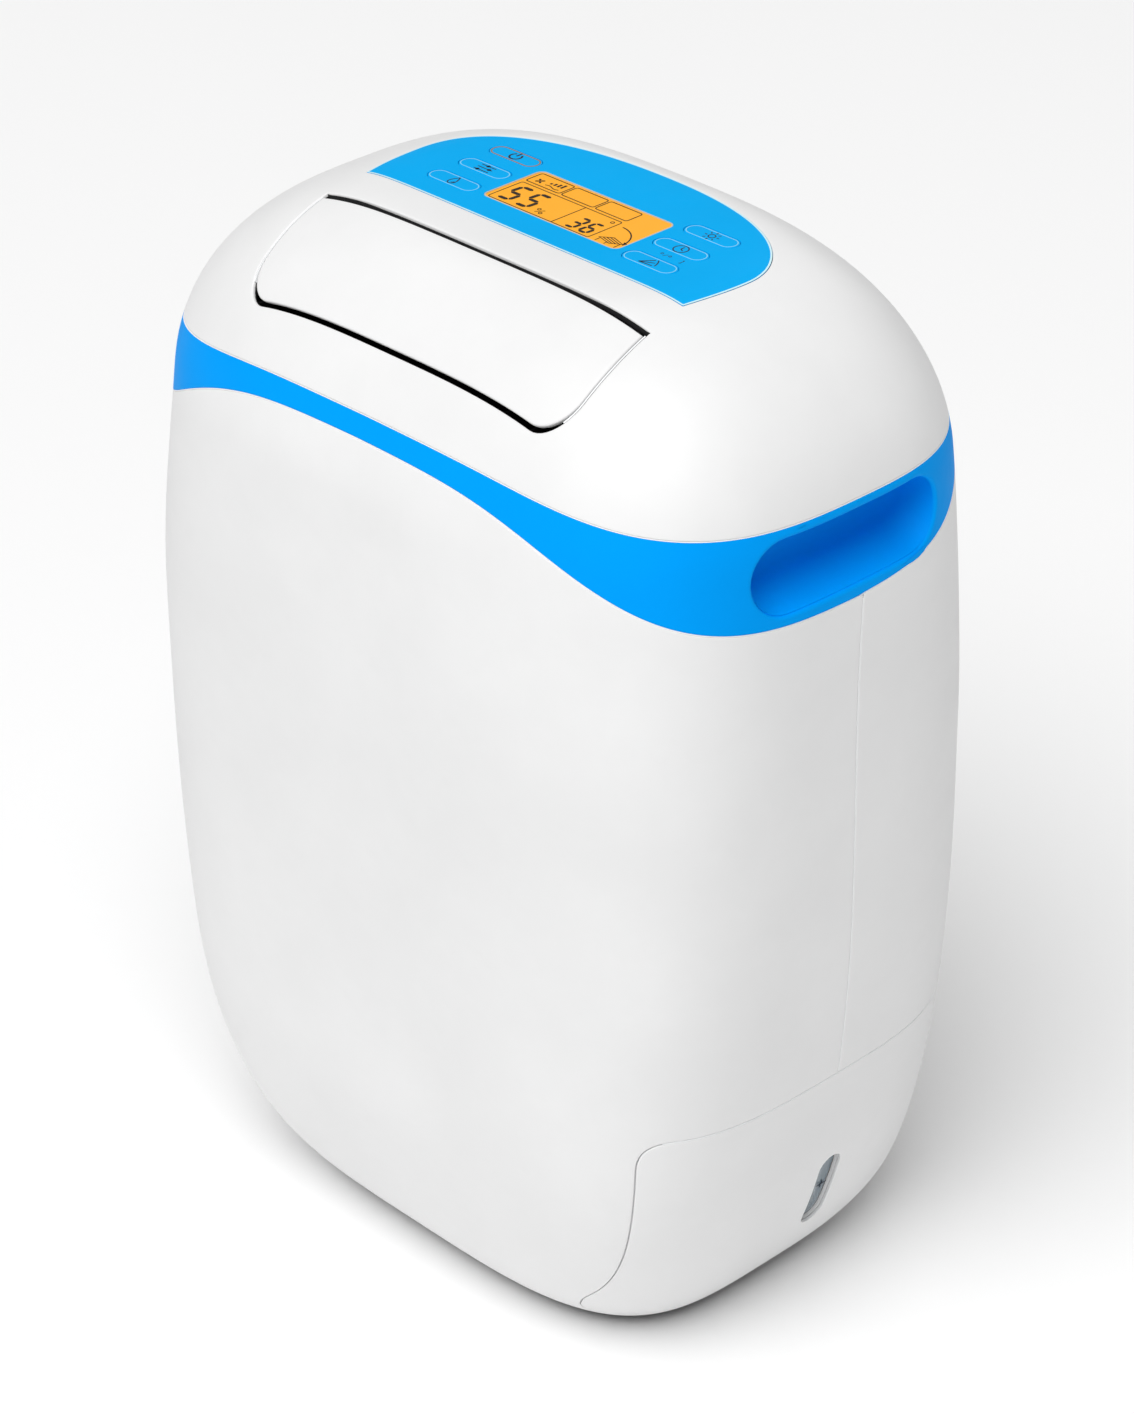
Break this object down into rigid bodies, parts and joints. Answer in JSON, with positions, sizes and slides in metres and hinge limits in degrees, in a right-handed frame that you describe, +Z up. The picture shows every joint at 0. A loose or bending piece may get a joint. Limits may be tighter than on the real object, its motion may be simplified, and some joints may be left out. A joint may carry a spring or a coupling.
{
  "type": "dehumidifier",
  "caption": "Upright portable dehumidifier with rounded casing, coloured band with hand recesses, top control panel, swinging outlet flap and side water tank.",
  "frame": {"origin": "on the floor under the middle of the casing", "axes": "+Z up, the front with the outlet flap faces -Y, +X is the object's right-hand side as seen from the front, where the tank slides out"},
  "size_m": [0.3443, 0.2438, 0.4738],
  "materials": {
    "casing_white": "satin moulded, fine spark texture",
    "band_blue": "satin moulded",
    "panel_blue": "smooth printed overlay",
    "button_blue": "smooth printed overlay",
    "lcd_lens": "clear, lit amber",
    "lcd_module": "amber film",
    "circuit_board": "solder mask",
    "black_plastic": "fine grain",
    "grey_plastic": "fine grain",
    "inner_white": "plain moulded",
    "tank_clear": "translucent",
    "gauge_clear": "tinted clear",
    "foam_white": "closed-cell foam",
    "rubber_black": "matt",
    "filter_net": "woven net",
    "aluminium_fin": "thin sheet",
    "copper_pipe": "drawn copper tube",
    "steel_bright": "zinc plated",
    "black_enamel": "gloss enamel"
  },
  "bodies": {
    "housing": {"air_duct": "black_plastic", "base_tray": "black_plastic", "case_screw_1": "steel_bright", "case_screw_2": "steel_bright", "case_screw_3": "steel_bright", "case_screw_4": "steel_bright", "compressor": "black_enamel", "compressor_grommet_1": "rubber_black", "compressor_grommet_2": "rubber_black", "compressor_grommet_3": "rubber_black", "condenser_fins": "aluminium_fin", "condenser_tube": "copper_pipe", "control_panel": "panel_blue", "cord_gland": "black_plastic", "discharge_pipe": "copper_pipe", "display_board": "circuit_board", "display_lens": "lcd_lens", "display_module": "lcd_module", "drain_port": "inner_white", "drip_tray": "inner_white", "electronics_box": "black_plastic", "evaporator_fins": "aluminium_fin", "evaporator_tube": "copper_pipe", "fan_motor": "steel_bright", "fan_scroll": "grey_plastic", "filter_drier": "copper_pipe", "flap_motor": "steel_bright", "flap_shaft": "steel_bright", "foot_1": "rubber_black", "foot_2": "rubber_black", "foot_3": "rubber_black", "foot_4": "rubber_black", "front_cover": "casing_white", "handle_band": "band_blue", "main_board": "circuit_board", "outlet_vanes": "black_plastic", "rear_cover": "casing_white", "run_capacitor": "aluminium_fin", "suction_accumulator": "copper_pipe", "suction_pipe": "copper_pipe", "tank_bay": "inner_white", "tank_switch": "black_plastic", "top_cover": "casing_white"},
    "tank": {"water_tank": "tank_clear", "tank_lid": "inner_white", "tank_cover": "casing_white", "tank_window": "gauge_clear"},
    "float": {"tank_float": "foam_white"},
    "flap": {"outlet_flap": "casing_white"},
    "fan": {"fan_wheel": "grey_plastic"},
    "filter_door": {"rear_grille": "casing_white", "filter_frame": "grey_plastic", "filter_mesh": "filter_net"},
    "plug": {"drain_plug": "rubber_black"},
    "key_power": {"button_power": "button_blue"},
    "key_mode": {"button_mode": "button_blue"},
    "key_humidity": {"button_humidity": "button_blue"},
    "key_dim": {"button_dim": "button_blue"},
    "key_timer": {"button_timer": "button_blue"},
    "key_swing": {"button_swing": "button_blue"}
  },
  "joints": [
    {"name": "flap_hinge", "type": "hinge", "parent": "housing", "child": "flap", "pos_m": [0, -0.0452, 0.4676], "axis": [-1, 0, 0], "range_deg": [0, 75]},
    {"name": "fan_spin", "type": "hinge", "parent": "housing", "child": "fan", "pos_m": [0.008, -0.054, 0.283], "axis": [0, 1, 0], "continuous": true},
    {"name": "tank_slide", "type": "slide", "parent": "housing", "child": "tank", "axis": [1, 0, 0], "range_m": [0, 0.19]},
    {"name": "float_hinge", "type": "hinge", "parent": "tank", "child": "float", "pos_m": [0.006, 0, 0.113], "axis": [0, -1, 0], "range_deg": [0, 10]},
    {"name": "filter_door_hinge", "type": "hinge", "parent": "housing", "child": "filter_door", "pos_m": [0, 0.121, 0.168], "axis": [-1, 0, 0], "range_deg": [0, 30]},
    {"name": "plug_pull", "type": "slide", "parent": "housing", "child": "plug", "axis": [0, 1, 0], "range_m": [0, 0.02]},
    {"name": "key_power_press", "type": "slide", "parent": "housing", "child": "key_power", "axis": [0, 0, -1], "range_m": [0, 0.0006], "stiffness_N_per_m": 300},
    {"name": "key_mode_press", "type": "slide", "parent": "housing", "child": "key_mode", "axis": [0, 0, -1], "range_m": [0, 0.0006], "stiffness_N_per_m": 300},
    {"name": "key_humidity_press", "type": "slide", "parent": "housing", "child": "key_humidity", "axis": [0, 0, -1], "range_m": [0, 0.0006], "stiffness_N_per_m": 300},
    {"name": "key_dim_press", "type": "slide", "parent": "housing", "child": "key_dim", "axis": [0, 0, -1], "range_m": [0, 0.0006], "stiffness_N_per_m": 300},
    {"name": "key_timer_press", "type": "slide", "parent": "housing", "child": "key_timer", "axis": [0, 0, -1], "range_m": [0, 0.0006], "stiffness_N_per_m": 300},
    {"name": "key_swing_press", "type": "slide", "parent": "housing", "child": "key_swing", "axis": [0, 0, -1], "range_m": [0, 0.0006], "stiffness_N_per_m": 300}
  ]
}
